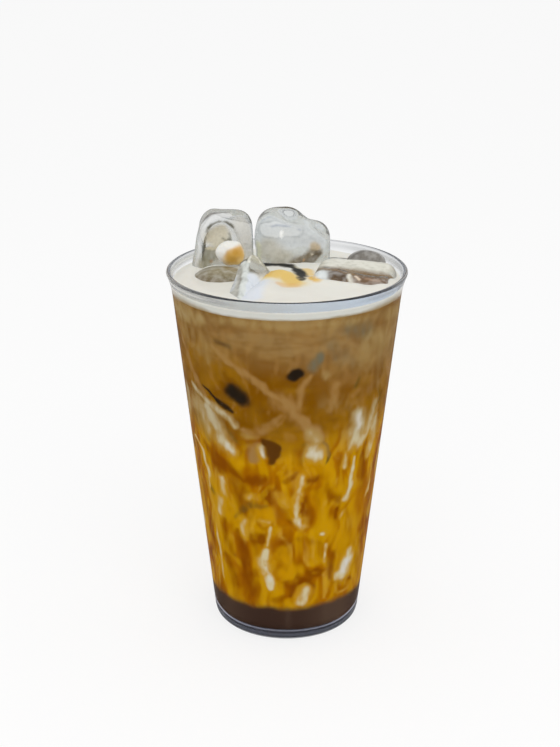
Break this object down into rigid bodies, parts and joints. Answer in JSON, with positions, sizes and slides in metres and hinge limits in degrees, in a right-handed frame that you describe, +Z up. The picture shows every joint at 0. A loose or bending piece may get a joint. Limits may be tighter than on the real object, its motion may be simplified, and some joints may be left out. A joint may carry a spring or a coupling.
{
  "type": "iced caramel macchiato",
  "caption": "Iced caramel macchiato in a clear tapered tumbler, with caramel-marbled milk, coffee, milk foam and ice standing out of the top.",
  "frame": {"origin": "centre of the tumbler's resting ring, on the surface it stands on", "axes": "+Z up along the tumbler's axis, front towards -Y, +X to the right seen from the front"},
  "size_m": [0.09, 0.09, 0.1616],
  "materials": {
    "clear_glass": "clear, polished",
    "dark_syrup": "dark brown syrup seen through glass",
    "caramel_milk": "golden caramel and milk, marbled",
    "coffee_milk": "milky coffee, softly marbled",
    "milk_foam": "soft cream-white foam",
    "ice": "wet, half-melted clear ice"
  },
  "bodies": {
    "root": {"tumbler": "clear_glass", "dark_syrup": "dark_syrup", "caramel_milk": "caramel_milk", "coffee_milk": "coffee_milk", "milk_foam": "milk_foam", "ice_hollow_cube": "ice", "ice_humped": "ice", "ice_peaked": "ice", "ice_sunken": "ice", "ice_slab": "ice", "ice_rear": "ice"}
  },
  "joints": []
}
